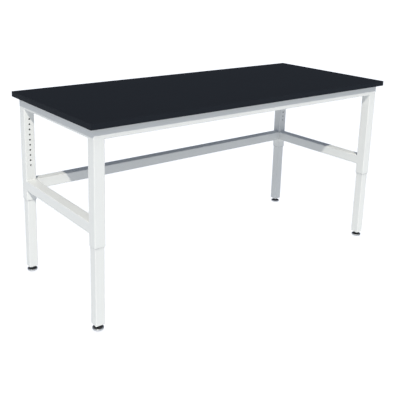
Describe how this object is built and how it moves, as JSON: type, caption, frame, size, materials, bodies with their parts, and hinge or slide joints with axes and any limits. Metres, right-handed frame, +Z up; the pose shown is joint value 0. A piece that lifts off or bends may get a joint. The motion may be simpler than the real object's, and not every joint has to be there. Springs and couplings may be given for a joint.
{
  "type": "height adjustable workbench",
  "caption": "Standing-height workbench: black slab top on a white welded square-tube frame with telescoping legs, low side and rear stringers and levelling feet.",
  "frame": {"origin": "on the floor, centred under the worktop", "axes": "+X along the worktop's length to the user's right, +Y from the open front to the back stringer, +Z up"},
  "size_m": [1.8288, 0.762, 0.9144],
  "materials": {
    "worktop_resin": "solid black phenolic resin, fine satin texture",
    "frame_powder_coat": "white powder coat, satin, slight orange peel",
    "zinc_plated_steel": "bright zinc plate",
    "black_oxide_steel": "black oxide",
    "black_nylon": "moulded black nylon",
    "sole_rubber": "matt rubber"
  },
  "bodies": {
    "frame": {"worktop": "worktop_resin", "front_apron": "frame_powder_coat", "rear_apron": "frame_powder_coat", "left_apron": "frame_powder_coat", "right_apron": "frame_powder_coat", "left_cross_support": "frame_powder_coat", "right_cross_support": "frame_powder_coat", "left_stringer": "frame_powder_coat", "right_stringer": "frame_powder_coat", "rear_stringer": "frame_powder_coat", "outer_leg_front_left": "frame_powder_coat", "outer_leg_front_right": "frame_powder_coat", "outer_leg_rear_left": "frame_powder_coat", "outer_leg_rear_right": "frame_powder_coat", "guide_collar_front_left": "black_nylon", "guide_collar_front_right": "black_nylon", "guide_collar_rear_left": "black_nylon", "guide_collar_rear_right": "black_nylon", "lock_nuts": "frame_powder_coat", "lock_screws": "black_oxide_steel", "top_tabs": "frame_powder_coat", "top_screws": "zinc_plated_steel"},
    "leg_front_left": {"inner_leg_front_left": "frame_powder_coat", "leg_glide_front_left": "black_nylon", "foot_insert_front_left": "black_nylon", "jam_nut_front_left": "zinc_plated_steel"},
    "stem_front_left": {"leveller_stem_front_left": "zinc_plated_steel"},
    "foot_front_left": {"foot_pad_front_left": "zinc_plated_steel", "foot_boot_front_left": "black_nylon", "foot_sole_front_left": "sole_rubber"},
    "leg_front_right": {"inner_leg_front_right": "frame_powder_coat", "leg_glide_front_right": "black_nylon", "foot_insert_front_right": "black_nylon", "jam_nut_front_right": "zinc_plated_steel"},
    "stem_front_right": {"leveller_stem_front_right": "zinc_plated_steel"},
    "foot_front_right": {"foot_pad_front_right": "zinc_plated_steel", "foot_boot_front_right": "black_nylon", "foot_sole_front_right": "sole_rubber"},
    "leg_rear_left": {"inner_leg_rear_left": "frame_powder_coat", "leg_glide_rear_left": "black_nylon", "foot_insert_rear_left": "black_nylon", "jam_nut_rear_left": "zinc_plated_steel"},
    "stem_rear_left": {"leveller_stem_rear_left": "zinc_plated_steel"},
    "foot_rear_left": {"foot_pad_rear_left": "zinc_plated_steel", "foot_boot_rear_left": "black_nylon", "foot_sole_rear_left": "sole_rubber"},
    "leg_rear_right": {"inner_leg_rear_right": "frame_powder_coat", "leg_glide_rear_right": "black_nylon", "foot_insert_rear_right": "black_nylon", "jam_nut_rear_right": "zinc_plated_steel"},
    "stem_rear_right": {"leveller_stem_rear_right": "zinc_plated_steel"},
    "foot_rear_right": {"foot_pad_rear_right": "zinc_plated_steel", "foot_boot_rear_right": "black_nylon", "foot_sole_rear_right": "sole_rubber"}
  },
  "joints": [
    {"name": "leg_slide_front_left", "type": "slide", "parent": "frame", "child": "leg_front_left", "axis": [0, 0, 1], "range_m": [0, 0.2286]},
    {"name": "foot_level_front_left", "type": "slide", "parent": "leg_front_left", "child": "stem_front_left", "axis": [0, 0, 1], "range_m": [-0.019, 0.003]},
    {"name": "foot_swivel_front_left", "type": "hinge", "parent": "stem_front_left", "child": "foot_front_left", "pos_m": [-0.8636, -0.3302, 0], "axis": [0, 0, 1], "continuous": true},
    {"name": "leg_slide_front_right", "type": "slide", "parent": "frame", "child": "leg_front_right", "axis": [0, 0, 1], "range_m": [0, 0.2286]},
    {"name": "foot_level_front_right", "type": "slide", "parent": "leg_front_right", "child": "stem_front_right", "axis": [0, 0, 1], "range_m": [-0.019, 0.003]},
    {"name": "foot_swivel_front_right", "type": "hinge", "parent": "stem_front_right", "child": "foot_front_right", "pos_m": [0.8636, -0.3302, 0], "axis": [0, 0, 1], "continuous": true},
    {"name": "leg_slide_rear_left", "type": "slide", "parent": "frame", "child": "leg_rear_left", "axis": [0, 0, 1], "range_m": [0, 0.2286]},
    {"name": "foot_level_rear_left", "type": "slide", "parent": "leg_rear_left", "child": "stem_rear_left", "axis": [0, 0, 1], "range_m": [-0.019, 0.003]},
    {"name": "foot_swivel_rear_left", "type": "hinge", "parent": "stem_rear_left", "child": "foot_rear_left", "pos_m": [-0.8636, 0.3302, 0], "axis": [0, 0, 1], "continuous": true},
    {"name": "leg_slide_rear_right", "type": "slide", "parent": "frame", "child": "leg_rear_right", "axis": [0, 0, 1], "range_m": [0, 0.2286]},
    {"name": "foot_level_rear_right", "type": "slide", "parent": "leg_rear_right", "child": "stem_rear_right", "axis": [0, 0, 1], "range_m": [-0.019, 0.003]},
    {"name": "foot_swivel_rear_right", "type": "hinge", "parent": "stem_rear_right", "child": "foot_rear_right", "pos_m": [0.8636, 0.3302, 0], "axis": [0, 0, 1], "continuous": true}
  ]
}
